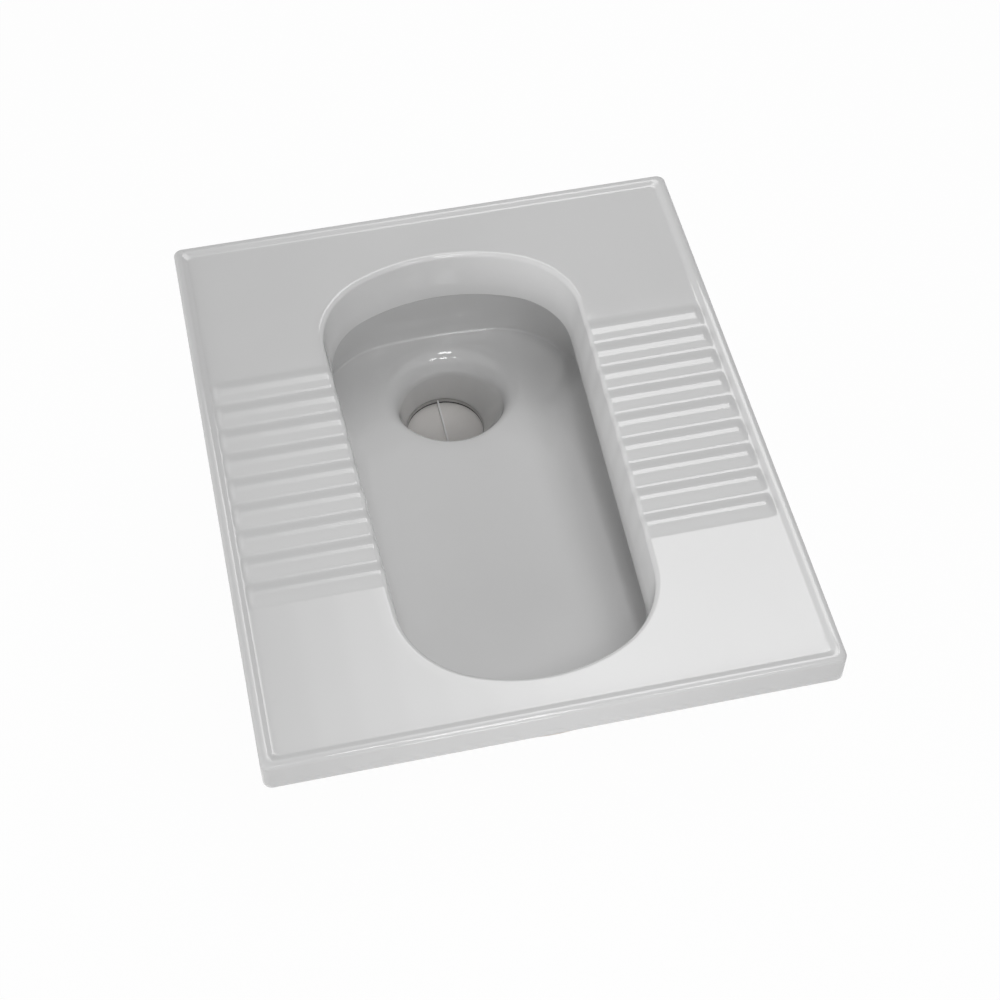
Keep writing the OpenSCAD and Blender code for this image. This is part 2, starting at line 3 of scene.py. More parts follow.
import bpy
import numpy as np
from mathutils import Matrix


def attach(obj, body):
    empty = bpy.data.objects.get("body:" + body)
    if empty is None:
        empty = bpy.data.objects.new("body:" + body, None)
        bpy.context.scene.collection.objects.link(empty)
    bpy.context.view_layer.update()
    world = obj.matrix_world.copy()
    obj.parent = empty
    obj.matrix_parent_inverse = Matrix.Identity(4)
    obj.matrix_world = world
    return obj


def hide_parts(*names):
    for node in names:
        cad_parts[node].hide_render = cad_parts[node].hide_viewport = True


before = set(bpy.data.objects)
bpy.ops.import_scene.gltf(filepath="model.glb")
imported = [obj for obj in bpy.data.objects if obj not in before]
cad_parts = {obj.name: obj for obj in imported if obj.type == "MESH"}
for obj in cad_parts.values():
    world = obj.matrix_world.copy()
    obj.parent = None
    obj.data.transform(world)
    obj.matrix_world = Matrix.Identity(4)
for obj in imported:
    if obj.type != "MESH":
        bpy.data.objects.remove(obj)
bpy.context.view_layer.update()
mm = 0.001
mergeWithin = 0.002 * mm
closeTo = 0.01 * mm


def deselectAll():
    if bpy.context.object and bpy.context.object.mode != "OBJECT":
        bpy.ops.object.mode_set(mode="OBJECT")
    bpy.ops.object.select_all(action="DESELECT")


def pick(piece):
    deselectAll()
    piece.select_set(True)
    bpy.context.view_layer.objects.active = piece


def editAll(piece):
    pick(piece)
    bpy.ops.object.mode_set(mode="EDIT")
    bpy.ops.mesh.select_all(action="SELECT")


def leaveEdit():
    bpy.ops.object.mode_set(mode="OBJECT")


def setDown(piece):
    # place, turn and size go into the mesh, and the object stays at the origin
    pick(piece)
    bpy.ops.object.transform_apply(location=True, rotation=True, scale=True)


def closeSkin(piece):
    # points that lie in one place become one, and the faces turn outwards
    editAll(piece)
    bpy.ops.mesh.remove_doubles(threshold=mergeWithin)
    bpy.ops.mesh.normals_make_consistent(inside=False)
    leaveEdit()


def smoothBelow(piece, degrees):
    pick(piece)
    bpy.ops.object.shade_smooth_by_angle(angle=math.radians(degrees))


def ease(low, high, x):
    # a soft step, 0 up to low and 1 from high on
    t = np.clip((x - low) / (high - low), 0, 1)
    return t * t * (3 - 2 * t)


def blend(first, last, share):
    return first * (1 - share) + last * share


def steps(count, first=0):
    return [i / count for i in range(first, count)]


def turns(allDegrees):
    # degrees, sine and cosine of each step of a rounding
    return [(d, math.sin(math.radians(d)), math.cos(math.radians(d))) for d in allDegrees]


class Signal:
    # one socket of a node tree, so that maths on it is written as an expression

    def __init__(self, nodes, socket):
        self.nodes = nodes
        self.socket = socket

    def maths(self, operation, first, second):
        return self.nodes.node("Math", {"operation": operation}, {0: first, 1: second})

    def __add__(self, other):
        return self.maths("ADD", self, other)

    def __radd__(self, other):
        return self.maths("ADD", other, self)

    def __sub__(self, other):
        return self.maths("SUBTRACT", self, other)

    def __rsub__(self, other):
        return self.maths("SUBTRACT", other, self)

    def __mul__(self, other):
        return self.maths("MULTIPLY", self, other)

    def __rmul__(self, other):
        return self.maths("MULTIPLY", other, self)


class NodeSet:
    # the nodes of a material or of the world

    def __init__(self, tree):
        self.tree = tree

    def node(self, kind, settings=None, sockets=None, output=0):
        made = self.tree.nodes.new("ShaderNode" + kind)
        for key, value in (settings or {}).items():
            setattr(made, key, value)
        for key, value in (sockets or {}).items():
            self.plug(made.inputs[key], value)
        return Signal(self, made.outputs[output])

    def plug(self, socket, value):
        if isinstance(value, Signal):
            self.tree.links.new(value.socket, socket)
        else:
            socket.default_value = value

    def seenRays(self):
        # 1 for rays that see the background, directly, in a reflection or through something clear
        seen = self.node("LightPath", output="Is Camera Ray")
        for ray in ("Is Glossy Ray", "Is Transmission Ray"):
            also = self.node("LightPath", output=ray)
            seen = self.node("Math", {"operation": "ADD", "use_clamp": True}, {0: seen, 1: also})
        return seen


class Finish(NodeSet):
    # a material with one Principled shader

    def __init__(self, name, **fixed):
        self.material = bpy.data.materials.new(name)
        self.material.use_nodes = True
        super().__init__(self.material.node_tree)
        self.shader = self.tree.nodes["Principled BSDF"]
        for socket, value in fixed.items():
            self.shader.inputs[socket].default_value = value

    def feed(self, socket, value):
        self.plug(self.shader.inputs[socket], value)

    def attribute(self, name):
        return self.node("Attribute", {"attribute_name": name}, output="Fac")

    def noise(self, scale, detail, roughness=0.5):
        place = self.node("TexCoord", output="Object")
        return self.node("TexNoise", {}, {"Vector": place, "Scale": scale, "Detail": detail,
                                          "Roughness": roughness})

    def between(self, low, high, amount):
        return self.node("MapRange", {}, {"Value": amount, "To Min": low, "To Max": high})

    def mask(self, amount, low, high):
        return self.node("MapRange", {"interpolation_type": "SMOOTHSTEP"},
                         {"Value": amount, "From Min": low, "From Max": high})

    def mixColour(self, amount, first, second):
        # a colour mix has its factor at 0, its colours at 6 and 7, and its result at 2
        return self.node("Mix", {"data_type": "RGBA"}, {0: amount, 6: first, 7: second}, output=2)

    def bump(self, height, strength, distance):
        return self.node("Bump", {}, {"Height": height, "Strength": strength,
                                      "Distance": distance})


def grey(value, warm=0.0):
    return (value * (1 + warm), value, value * (1 - warm), 1.0)


def paint(piece, finish):
    piece.data.materials.clear()
    piece.data.materials.append(finish.material)


# greys, in pairs where the colour varies; those of the clay have their warmth beside them
# the glaze's paler grey is painted light, put on the upright walls of the rim and the well to lift
# their shade
glazeLook = {"plainGlaze": (0.605, 0.625), "paintedLight": 0.82, "rough": (0.045, 0.07), "ripple": 0.06}
clayLook = {"dark": (0.52, 0.09), "light": (0.6, 0.07), "rough": 0.85, "grit": 0.25}


def glazedChina():
    # white glaze, paler on the upright walls as painted light that lifts their shade, and bare clay
    # where the glaze was wiped off before firing
    finish = Finish("glazedChina", IOR=1.5)
    glazed, paintedLight = finish.attribute("glaze"), finish.attribute("paintedLight")
    broad = finish.noise(scale=5.0, detail=2.0)
    ripple = finish.noise(scale=38.0, detail=2.0)
    mottle = finish.noise(scale=90.0, detail=4.0)
    grit = finish.noise(scale=900.0, detail=5.0, roughness=0.7)
    plainGlazeLow, plainGlazeHigh = glazeLook["plainGlaze"]
    plainGlaze = finish.mixColour(finish.mask(broad, 0.3, 0.7), grey(plainGlazeLow), grey(plainGlazeHigh))
    # the paler grey on the upright walls is painted light that lifts their shade
    glazeAndPaintedLight = finish.mixColour(paintedLight, plainGlaze, grey(glazeLook["paintedLight"]))
    clayColour = finish.mixColour(finish.mask(mottle, 0.3, 0.7), grey(*clayLook["dark"]),
                                  grey(*clayLook["light"]))
    finish.feed("Base Color", finish.mixColour(glazed, clayColour, glazeAndPaintedLight))
    glazeRough = finish.between(*glazeLook["rough"], broad)
    finish.feed("Roughness", glazed * glazeRough + (1 - glazed) * clayLook["rough"])
    height = glazed * ripple * glazeLook["ripple"] + (1 - glazed) * grit * clayLook["grit"]
    finish.feed("Normal", finish.bump(height, strength=0.35, distance=0.001))
    return finish


plastics = {
    # grey and warmth
    # the trap's grey is partly painted shade: it is darkened to the tone of the shaded well wall,
    # so that its ring round the flaps merges with the shade there
    "trapPlasticPaintedShade": (0.42, 0.02), "flapPlastic": (0.8, 0.025),
    "spacerPlastic": (0.75, 0.01), "barPlastic": (0.94, 0.0),
}
plasticLook = {"flow": 0.04, "rough": (0.34, 0.48)}


def mouldedPlastic(name, value, warm):
    # faint flow marks, and the fine texture of the mould
    finish = Finish(name)
    flow, texture = finish.noise(scale=40.0, detail=3.0), finish.noise(scale=1500.0, detail=2.0)
    darker, lighter = value * (1 - plasticLook["flow"]), value * (1 + plasticLook["flow"])
    finish.feed("Base Color", finish.mixColour(flow, grey(darker, warm), grey(lighter, warm)))
    finish.feed("Roughness", finish.between(*plasticLook["rough"],
                                            finish.noise(scale=260.0, detail=4.0)))
    finish.feed("Normal", finish.bump(texture, strength=0.12, distance=0.0004))
    return finish


rubberLook = {"black": 0.018, "dusty": 0.045, "rough": (0.5, 0.75)}


def mouldedRubber():
    finish = Finish("mouldedRubber")
    dust = finish.noise(scale=60.0, detail=5.0, roughness=0.65)
    finish.feed("Base Color", finish.mixColour(finish.mask(dust, 0.45, 0.8),
                                               grey(rubberLook["black"]),
                                               grey(rubberLook["dusty"])))
    finish.feed("Roughness", finish.between(*rubberLook["rough"], dust))
    skin = finish.noise(scale=800.0, detail=3.0)
    finish.feed("Normal", finish.bump(skin, strength=0.2, distance=0.0003))
    return finish


steelLook = {"dark": 0.623, "light": 0.717, "rough": (0.2, 0.34)}


def drawnSteel():
    finish = Finish("drawnSteel", Metallic=1.0)
    grain = finish.noise(scale=300.0, detail=4.0, roughness=0.6)
    finish.feed("Base Color", finish.mixColour(grain, grey(steelLook["dark"]),
                                               grey(steelLook["light"])))
    finish.feed("Roughness", finish.between(*steelLook["rough"], grain))
    finish.feed("Normal", finish.bump(grain, strength=0.08, distance=0.0002))
    return finish


pan = {
    # millimetres; every depth is measured down from the top of the lip
    "width": 500, "length": 600, "cornerRadius": 8, "insideCornerRadius": 6, "cornerShrink": 0.4,
    "lipTop": 296, "skirtDepth": 31, "footRound": 1.2, "footBevel": 0.35, "clay": 10,
    "edgeRadius": 3.5, "lipCrest": 6, "lipFoot": 13.5, "deckDepth": 2.5,
    # the opening: its ends and half widths, the radii of its four corners and of its two ends
    "openingRear": 232, "openingFront": 254.5, "openingRearHalf": 118.5,
    "openingFrontHalf": 108.5, "rearCorner": 73.5, "frontCorner": 78.5,
    "rearEnd": 183.5, "frontEnd": 148.5, "edgeRound": 5, "flare": 3.5, "sideFlare": 6,
    "flareFrom": -230, "flareFull": -150, "rimDepth": 57, "rimEdge": 3,
    # the bowl under it, whose rear wall starts to change at rearFrom and has changed at rearFull
    "undercut": 13, "frontUndercut": 8, "rearWall": 245, "rearWallRadius": 600,
    "rearFrom": 130, "rearFull": 215, "rearLean": 7.5, "fillet": 42, "rearFillet": 2.5,
    "wallStart": 1.2, "floorDepth": 136, "floorRise": 39,
    # the flush channel behind the rim's wall, and the closed box that holds it
    "curtain": 8, "channel": 13, "slot": 4, "channelRoof": 24, "channelFloor": 50,
    "channelFront": 150, "channelFade": 12, "rimBox": 32, "boxBevel": 2, "boxLift": 0.5,
    # the well and the outlet; its lip changes between two sines of the direction from its middle
    "lipFrom": -1, "lipFull": 0.3,
    "wellY": 166, "wellRadius": 53, "wellLip": 6, "wellRearLip": 22, "wellGap": 2,
    "outletY": 207, "throatRadius": 41.2, "socketDepth": 232, "socketRadius": 46.5,
    "spigotRadius": 54, "spigotTop": 229, "outletDepth": 262, "bevel": 1,
    "shellFootRadius": 53.2, "shellFootDepth": 222,
    # how much painted light lies on the upright walls: a paler glaze that lifts their shade
    "rimPaintedLight": 0.55, "wellPaintedLight": 0.5,
}
rib = {
    # the crowding draws the points together where a rib turns
    "count": 9, "pitch": 29.3, "rise": 13, "height": 3.0, "rearFoot": 122,
    "outerFull": 230, "outerEnd": 238, "crowding": 0.035,
    "frontRamp": 0.6, "frontRelease": 0.22, "soften": 0.9,
}
rows = {
    # how finely the pan is divided round its outline; the corner's places are shares of an end
    "nearCorner": 14, "corner": 7, "end": 44, "cornerFrom": 0.13, "cornerTo": 0.165,
    "plainSide": 9, "rib": 18,
    # and across it, in heights over the skirt's foot, counts, and shares of the way
    "skirt": (9, 18), "lip": 9,
    "deck": (0, 0.008, 0.016, 0.028, 0.04, 0.052, 0.064, 0.08, 0.11, 0.18, 0.32, 0.48, 0.64,
             0.8, 0.92),
    "rimWall": (0.33, 0.67), "bowlWall": (0, 0.2, 0.4, 0.6, 0.8), "floor": 9, "well": 10,
    "wellOutside": (0, 0.3, 0.65, 1), "floorOutside": (0.35, 0.7),
    # shares of the way across the underside of the deck, each with how far it hangs down
    "underside": ((0, 8), (0.02, 3), (0.08, 0), (0.36, 0), (0.64, 0), (0.94, 0), (0.985, 2),
                  (1, 6)),
}


def at(depth):
    return pan["lipTop"] - depth


topZ, deckZ = at(0), at(pan["deckDepth"])
skirtZ, rimZ = at(pan["skirtDepth"]), at(pan["rimDepth"])


def outlineArcs(rearY, frontY, rearHalf, frontHalf, rearCorner, frontCorner, rearEnd, frontEnd):
    # six arcs, anticlockwise from the right rear corner, each with the x and y of its centre,
    # its radius, and its first and last angle
    rearX, frontX = rearHalf - rearCorner, frontHalf - frontCorner
    rearCy = rearY - rearEnd + math.sqrt((rearEnd - rearCorner) ** 2 - rearX ** 2)
    frontCy = -(frontY - frontEnd + math.sqrt((frontEnd - frontCorner) ** 2 - frontX ** 2))
    rearSpan = math.asin(rearX / (rearEnd - rearCorner))
    frontSpan = math.asin(frontX / (frontEnd - frontCorner))
    runX, runY = rearX - frontX, rearCy - frontCy
    side = math.atan2(runY, runX) - math.acos((frontCorner - rearCorner) / math.hypot(runX, runY))
    up, half = math.pi / 2, math.pi
    return [
        (rearX, rearCy, rearCorner, side, up - rearSpan),
        (0, rearY - rearEnd, rearEnd, up - rearSpan, up + rearSpan),
        (-rearX, rearCy, rearCorner, up + rearSpan, half - side),
        (-frontX, frontCy, frontCorner, half - side, 3 * up - frontSpan),
        (0, frontEnd - frontY, frontEnd, 3 * up - frontSpan, 3 * up + frontSpan),
        (frontX, frontCy, frontCorner, 3 * up + frontSpan, 4 * up + side),
    ]


openingArcs = outlineArcs(
    pan["openingRear"], pan["openingFront"], pan["openingRearHalf"], pan["openingFrontHalf"],
    pan["rearCorner"], pan["frontCorner"], pan["rearEnd"], pan["frontEnd"])
bowlArcs = outlineArcs(
    pan["rearWall"], pan["openingFront"] + pan["frontUndercut"],
    pan["openingRearHalf"] + pan["undercut"], pan["openingFrontHalf"] + pan["undercut"],
    pan["rearCorner"] + pan["undercut"], pan["frontCorner"] + pan["frontUndercut"],
    pan["rearWallRadius"], pan["frontEnd"] + pan["frontUndercut"])


def onArc(arc, angle, grow=0.0):
    x, y, radius = arc[:3]
    return x + (radius + grow) * math.cos(angle), y + (radius + grow) * math.sin(angle)


# the straight sides of the opening run between these two places
sideRear = onArc(openingArcs[0], openingArcs[0][3])[1]
sideFront = onArc(openingArcs[5], openingArcs[5][4])[1]


# A stop is one place round the pan, and has two parts. The first is its place on an outline,
# ("arc", number, share) or ("side", sign, share). The second is its place on the outer edge,
# (part, sign, share), where a side has the y instead of the share.
def endStops(first):
    # the rear end has arcs 0, 1 and 2, and the front end has arcs 3, 4 and 5
    sign = 1 if first == 0 else -1
    lengths = [arc[2] * (arc[4] - arc[3]) for arc in openingArcs[first:first + 3]]
    cornerFrom, cornerTo = rows["cornerFrom"], rows["cornerTo"]
    runs = [(0, cornerFrom, rows["nearCorner"], "near"),
            (cornerFrom, cornerTo, rows["corner"], "corner"),
            (cornerTo, 1 - cornerTo, rows["end"], "end"),
            (1 - cornerTo, 1 - cornerFrom, rows["corner"], "farCorner"),
            (1 - cornerFrom, 1, rows["nearCorner"], "far")]
    stops = []
    for low, high, count, part in runs:
        for share in steps(count):
            run = blend(low, high, share) * sum(lengths)
            number = 0
            while number < 2 and run > lengths[number]:
                run -= lengths[number]
                number += 1
            stops.append((("arc", first + number, run / lengths[number]), (part, sign, share)))
    return stops


def ribPlaces():
    places = []
    for number in range(rib["count"]):
        foot = rib["rearFoot"] - number * rib["pitch"]
        for share in steps(rows["rib"]):
            crowd = rib["crowding"] * math.sin(4 * math.pi * share)
            places.append(foot - rib["pitch"] * (share - crowd))
    return places


def sideStops(sign):
    # the left side runs to the front, and the right side runs back to the rear
    treadFront = rib["rearFoot"] - rib["count"] * rib["pitch"]
    plain = steps(rows["plainSide"])
    places = [blend(sideRear, rib["rearFoot"], share) for share in plain] + ribPlaces()
    places += [blend(treadFront, sideFront, share) for share in plain]
    if sign > 0:
        places = [sideFront] + places[:0:-1]
    return [(("side", sign, (y - sideFront) / (sideRear - sideFront)), ("side", sign, y))
            for y in places]


ringStops = endStops(0) + sideStops(-1) + endStops(3) + sideStops(1)


def outline(arcs, grow=0.0):
    # the outline, grown, at every stop
    points = []
    for (stop, outer), g in zip(ringStops, np.broadcast_to(grow, (len(ringStops),))):
        kind, number, share = stop
        if kind == "arc":
            arc = arcs[number]
            points.append(onArc(arc, blend(arc[3], arc[4], share), g))
            continue
        if number > 0:
            front, rear = onArc(arcs[5], arcs[5][4], g), onArc(arcs[0], arcs[0][3], g)
        else:
            front, rear = onArc(arcs[3], arcs[3][3], g), onArc(arcs[2], arcs[2][4], g)
        points.append((blend(front[0], rear[0], share), blend(front[1], rear[1], share)))
    return np.array(points)


def outerEdge(inset):
    # the outer edge of the pan, drawn in by inset, at every stop
    radius = max(pan["cornerRadius"] - pan["cornerShrink"] * inset, pan["insideCornerRadius"])
    halfX, halfY = pan["width"] / 2 - inset, pan["length"] / 2 - inset
    cornerX, cornerY = halfX - radius, halfY - radius
    points = []
    for stop, (part, sign, share) in ringStops:
        if part == "side":
            points.append((sign * halfX, share))
            continue
        xSign = sign
        if part in ("far", "farCorner"):
            xSign, share = -sign, 1 - share
        if part in ("near", "far"):
            sideEnd = sideRear if sign > 0 else -sideFront
            points.append((xSign * halfX, sign * blend(sideEnd, cornerY, share)))
        elif part == "end":
            points.append((xSign * cornerX * (1 - 2 * share), sign * halfY))
        else:
            angle = share * math.pi / 2
            points.append((xSign * (cornerX + radius * math.cos(angle)),
                           sign * (cornerY + radius * math.sin(angle))))
    return np.array(points)


def ribTable():
    # the height of one rib from its rear foot to its front foot, worked out from its slopes
    step, kernelHalf = 0.1, 30
    along = np.arange(0, rib["pitch"], step)
    rise = rib["rise"]
    rearSlope = np.where(along < rise, np.sin(np.pi * along / rise), 0)
    down = np.clip((along - rise) / (rib["pitch"] - rise), 0, 1)
    ramp = np.minimum(down / rib["frontRamp"], 1)
    release = np.minimum((1 - down) / rib["frontRelease"], 1)
    frontSlope = np.where(along >= rise, ramp * release, 0)
    slope = rearSlope / rearSlope.sum() - frontSlope / frontSlope.sum()
    soft = np.exp(-0.5 * (np.arange(-kernelHalf, kernelHalf + 1) * step / rib["soften"]) ** 2)
    threeRibs = np.convolve(np.tile(slope, 3), soft / soft.sum(), mode="same")
    height = np.cumsum(threeRibs[len(along):2 * len(along)])
    height -= height.min()
    return along, height / height.max() * rib["height"]


ribAlong, ribHeights = ribTable()


def ribHeight(y):
    run = rib["rearFoot"] - y
    inside = (run >= 0) & (run <= rib["count"] * rib["pitch"])
    return np.where(inside, np.interp(run % rib["pitch"], ribAlong, ribHeights), 0.0)


def treadHeight(points):
    fade = ease(rib["outerFull"], rib["outerEnd"], np.abs(points[:, 0]))
    return ribHeight(points[:, 1]) * (1 - fade)


def floorZ(y):
    # the bowl's floor is scooped, and lowest at the well
    run = (pan["wellY"] - y) / (pan["wellY"] + pan["openingFront"])
    return at(pan["floorDepth"]) + pan["floorRise"] * run ** 2


def rearShare(points):
    return ease(pan["rearFrom"], pan["rearFull"], points[:, 1])


# the opening's edge at every stop, with the ribs that run out to it and the wall's flare
openingPoints = outline(openingArcs)
onSide = np.array([stop[0] == "side" for stop, outer in ringStops])
edgeRib = np.where(onSide, ribHeight(openingPoints[:, 1]), 0.0)
flareShare = ease(pan["flareFrom"], pan["flareFull"], openingPoints[:, 1])
flare = blend(pan["flare"], pan["sideFlare"], flareShare * (1 - rearShare(openingPoints)))

# the bowl's wall at every stop: the rear wall leans back to a tight corner
bowlPoints = outline(bowlArcs)
bowlOutwards = outline(bowlArcs, 1.0) - bowlPoints
atRear = rearShare(bowlPoints)
footPoints = bowlPoints + bowlOutwards * (pan["rearLean"] * atRear)[:, None]

# the well's lip, seen from the well's middle, is roundest at the rear
around = np.arctan2(footPoints[:, 1] - pan["wellY"], footPoints[:, 0])
lipShare = ease(pan["lipFrom"], pan["lipFull"], np.sin(around))
wellLip = blend(pan["wellLip"], pan["wellRearLip"], lipShare)
lipEdge = pan["wellRadius"] + wellLip
toLip = np.hypot(footPoints[:, 0], footPoints[:, 1] - pan["wellY"]) - lipEdge
filletRadius = np.minimum(pan["fillet"], toLip - pan["wellGap"])
filletRadius = blend(filletRadius, np.minimum(filletRadius, pan["rearFillet"]), atRear)


def circle(centreY, radius):
    return np.column_stack([radius * np.cos(around), centreY + radius * np.sin(around)])


def filletRing(grow, degrees):
    # one ring of the rounding between wall and floor, or of the clay outside it
    a = math.radians(degrees)
    reach = (filletRadius + grow) * math.cos(a) - filletRadius
    points = footPoints + bowlOutwards * reach[:, None]
    return points, floorZ(points[:, 1]) + filletRadius - (filletRadius + grow) * math.sin(a)


def skirtAndLip(ring):
    edge = pan["edgeRadius"]
    ring(outerEdge(pan["footRound"]), skirtZ, 0.0)
    ring(outerEdge(pan["footBevel"]), skirtZ + pan["footBevel"], 0.0)
    for height in (pan["footRound"], *rows["skirt"]):
        ring(outerEdge(0), skirtZ + height)
    ring(outerEdge(0), topZ - edge)
    for degrees, sine, cosine in turns(range(15, 91, 15)):
        ring(outerEdge(edge * (1 - cosine)), topZ - edge * (1 - sine))
    for share in steps(rows["lip"]):
        drop = pan["deckDepth"] * (1 - math.cos(math.pi * share)) / 2
        ring(outerEdge(blend(pan["lipCrest"], pan["lipFoot"], share)), topZ - drop)


def deckAndTreads(ring):
    outer = outerEdge(pan["lipFoot"])
    inner = outline(openingArcs, flare + pan["edgeRound"])
    for share in rows["deck"]:
        points = blend(outer, inner, share)
        ring(points, deckZ + treadHeight(points))


def rimWall(ring):
    # the opening's rounded edge, its wall and the wall's rounded foot
    # the paler glaze on the rounded edge, the wall and its foot is painted light, which lifts their
    # shade
    edge, foot, paintedLightShare = pan["edgeRound"], pan["rimEdge"], pan["rimPaintedLight"]
    for degrees, sine, cosine in turns(range(0, 91, 10)):
        ring(outline(openingArcs, flare + edge * (1 - sine)),
             deckZ + edgeRib - edge * (1 - cosine), paintedLight=paintedLightShare * ease(0, 90, degrees))
    for share in rows["rimWall"]:
        ring(outline(openingArcs, flare * (1 - share)),
             blend(deckZ + edgeRib - edge, rimZ + foot, share), paintedLight=paintedLightShare)
    for degrees, sine, cosine in turns((0, 22, 45, 67, 90)):
        ring(outline(openingArcs, foot * (1 - cosine)), rimZ + foot * (1 - sine), paintedLight=paintedLightShare)


def flushChannel(ring):
    # the slot under the rim and the channel behind it close towards the front
    front, fade = -pan["channelFront"], pan["channelFade"]
    openTo = ease(front - fade, front + fade, openingPoints[:, 1])
    roof, sill = at(pan["channelRoof"]), at(pan["channelFloor"])
    near, slot = pan["curtain"], pan["slot"]
    far = near + pan["channel"]
    section = [(near, rimZ), (near, sill), (near, roof), (far, roof), (far, sill),
               (near + slot, sill), (near + slot, rimZ)]
    for i, (grow, z) in enumerate(section):
        closed = near + slot * i / (len(section) - 1)
        ring(outline(openingArcs, blend(closed, grow, openTo)), blend(rimZ, z, openTo))


def bowl(ring):
    wallFootZ = filletRing(0, 0)[1]
    for share in rows["bowlWall"]:
        ring(blend(bowlPoints, footPoints, share ** 2),
             blend(rimZ - pan["wallStart"], wallFootZ, share))
    for degrees in range(0, 91, 9):
        ring(*filletRing(0, degrees))
    floorEdge, lipPoints = filletRing(0, 90)[0], circle(pan["wellY"], lipEdge)
    for share in steps(rows["floor"], 1):
        points = blend(floorEdge, lipPoints, share)
        ring(points, floorZ(points[:, 1]))


def well(ring):
    # the paler glaze on the lower part of the lip and down the wall is painted light, which lifts
    # their shade
    paintedLightShare = pan["wellPaintedLight"]
    for degrees, sine, cosine in turns(range(0, 91, 10)):
        points = circle(pan["wellY"], pan["wellRadius"] + wellLip * (1 - sine))
        ring(points, floorZ(points[:, 1]) - wellLip * (1 - cosine),
             paintedLight=paintedLightShare * ease(60, 90, degrees))
    top, foot = circle(pan["wellY"], pan["wellRadius"]), circle(pan["outletY"], pan["throatRadius"])
    topHeight = floorZ(top[:, 1]) - wellLip
    for share in steps(rows["well"], 1):
        ring(blend(top, foot, share), blend(topHeight, at(pan["socketDepth"]), share), paintedLight=paintedLightShare)
    ring(foot, at(pan["socketDepth"]))


def socketAndSpigot(ring):
    socket, spigot, bevel = pan["socketRadius"], pan["spigotRadius"], pan["bevel"]
    shelf, mouth = pan["socketDepth"], pan["outletDepth"]
    for radius, depth in ((socket, shelf), (socket, mouth - bevel), (socket + bevel, mouth),
                          (spigot - bevel, mouth), (spigot, mouth - bevel),
                          (spigot, pan["spigotTop"])):
        ring(circle(pan["outletY"], radius), at(depth), 0.0)


def outsideOfBowl(ring):
    clay = pan["clay"]
    foot = circle(pan["outletY"], pan["shellFootRadius"])
    top = circle(pan["wellY"], pan["wellRadius"] + clay)
    topHeight = floorZ(top[:, 1]) - clay - wellLip
    for share in rows["wellOutside"]:
        ring(blend(foot, top, share), blend(at(pan["shellFootDepth"]), topHeight, share), 0.0)
    edge, edgeHeight = filletRing(clay, 90)
    for share in rows["floorOutside"]:
        ring(blend(top, edge, share), blend(topHeight, edgeHeight, share), 0.0)
    for degrees in range(90, -1, -15):
        ring(*filletRing(clay, degrees), 0.0)


def underDeck(ring):
    # the rim's box, the underside of the deck and the inside of the skirt
    clay, box, bevel = pan["clay"], pan["rimBox"], pan["bevel"]
    boxPoints, skirtInside = outline(openingArcs, box), outerEdge(clay)
    ring(outline(bowlArcs, clay), rimZ + pan["boxLift"], 0.0)
    ring(outline(openingArcs, box - pan["boxBevel"]), rimZ, 0.0)
    ring(boxPoints, rimZ + pan["boxBevel"], 0.0)
    for share, drop in rows["underside"]:
        ring(blend(boxPoints, skirtInside, share), deckZ - clay - drop, 0.0)
    ring(skirtInside, skirtZ + bevel, 0.0)
    ring(outerEdge(clay - bevel), skirtZ, 0.0)


def panRings():
    # rings of points over the skirt and down the bowl, through the outlet and back up outside,
    # each with its share of glaze and its share of painted light, a paler glaze that lifts the
    # shade
    rings = []

    def ring(points, z, glaze=1.0, paintedLight=0.0):
        heights = np.broadcast_to(np.asarray(z, float), (len(points),))
        rings.append((np.column_stack([points, heights]), glaze, paintedLight))

    for part in (skirtAndLip, deckAndTreads, rimWall, flushChannel, bowl, well, socketAndSpigot,
                 outsideOfBowl, underDeck):
        part(ring)
    return rings


def wrapGrid(name, rings):
    # a flat grid, wrapped round both ways into the closed body that the rings describe
    across, along = len(ringStops), len(rings)
    deselectAll()
    bpy.ops.mesh.primitive_grid_add(x_subdivisions=across, y_subdivisions=along, size=2)
    body = bpy.context.object
    body.name = name
    flat = np.zeros(len(body.data.vertices) * 3)
    body.data.vertices.foreach_get("co", flat)
    flat = flat.reshape(-1, 3)
    i = np.rint((flat[:, 0] + 1) / 2 * across).astype(int) % across
    j = np.rint((flat[:, 1] + 1) / 2 * along).astype(int) % along
    stack = np.array([points for points, glaze, paintedLight in rings])
    body.data.vertices.foreach_set("co", (stack[j, i] * mm).ravel())
    # the second share is painted light: a paler glaze that lifts the shade on the upright walls
    for number, attributeName in ((1, "glaze"), (2, "paintedLight")):
        shares = np.array([float(entry[number]) for entry in rings])
        attribute = body.data.attributes.new(attributeName, "FLOAT", "POINT")
        attribute.data.foreach_set("value", shares[j])
    closeSkin(body)
    return body


inlet = {
    # millimetres: the block behind the rim, and the part of it that follows the rim's wall
    "half": 70, "front": 247, "rear": 276, "low": 208, "high": 288, "round": 6,
    "blockTop": 241, "upperFront": 235, "upperLow": 236, "wallGrow": 26,
    # the chamber in it
    "chamberHalf": 60, "chamberFront": 246, "chamberRear": 266,
    "chamberLow": 247, "chamberHigh": 271,
    # the horn, the collar round it and its bore
    "axisDepth": 60, "hornRadius": 28, "hornStart": 250, "hornEnd": 286, "hornRound": 2,
    "collarRadius": 33, "collarStart": 251, "collarEnd": 281, "collarRound": 4,
    "bore": 20, "boreStart": 257,
    # the cutting box and the prism that is taken from it, and how far they reach past the block
    "over": 5, "toolFront": 200, "toolRear": 300, "toolLow": 230, "toolHigh": 300,
    "prismOver": 20, "prismFront": 100, "prismLow": 200, "prismHigh": 320,
    "barrelSides": 96, "roundSegments": 5,
}


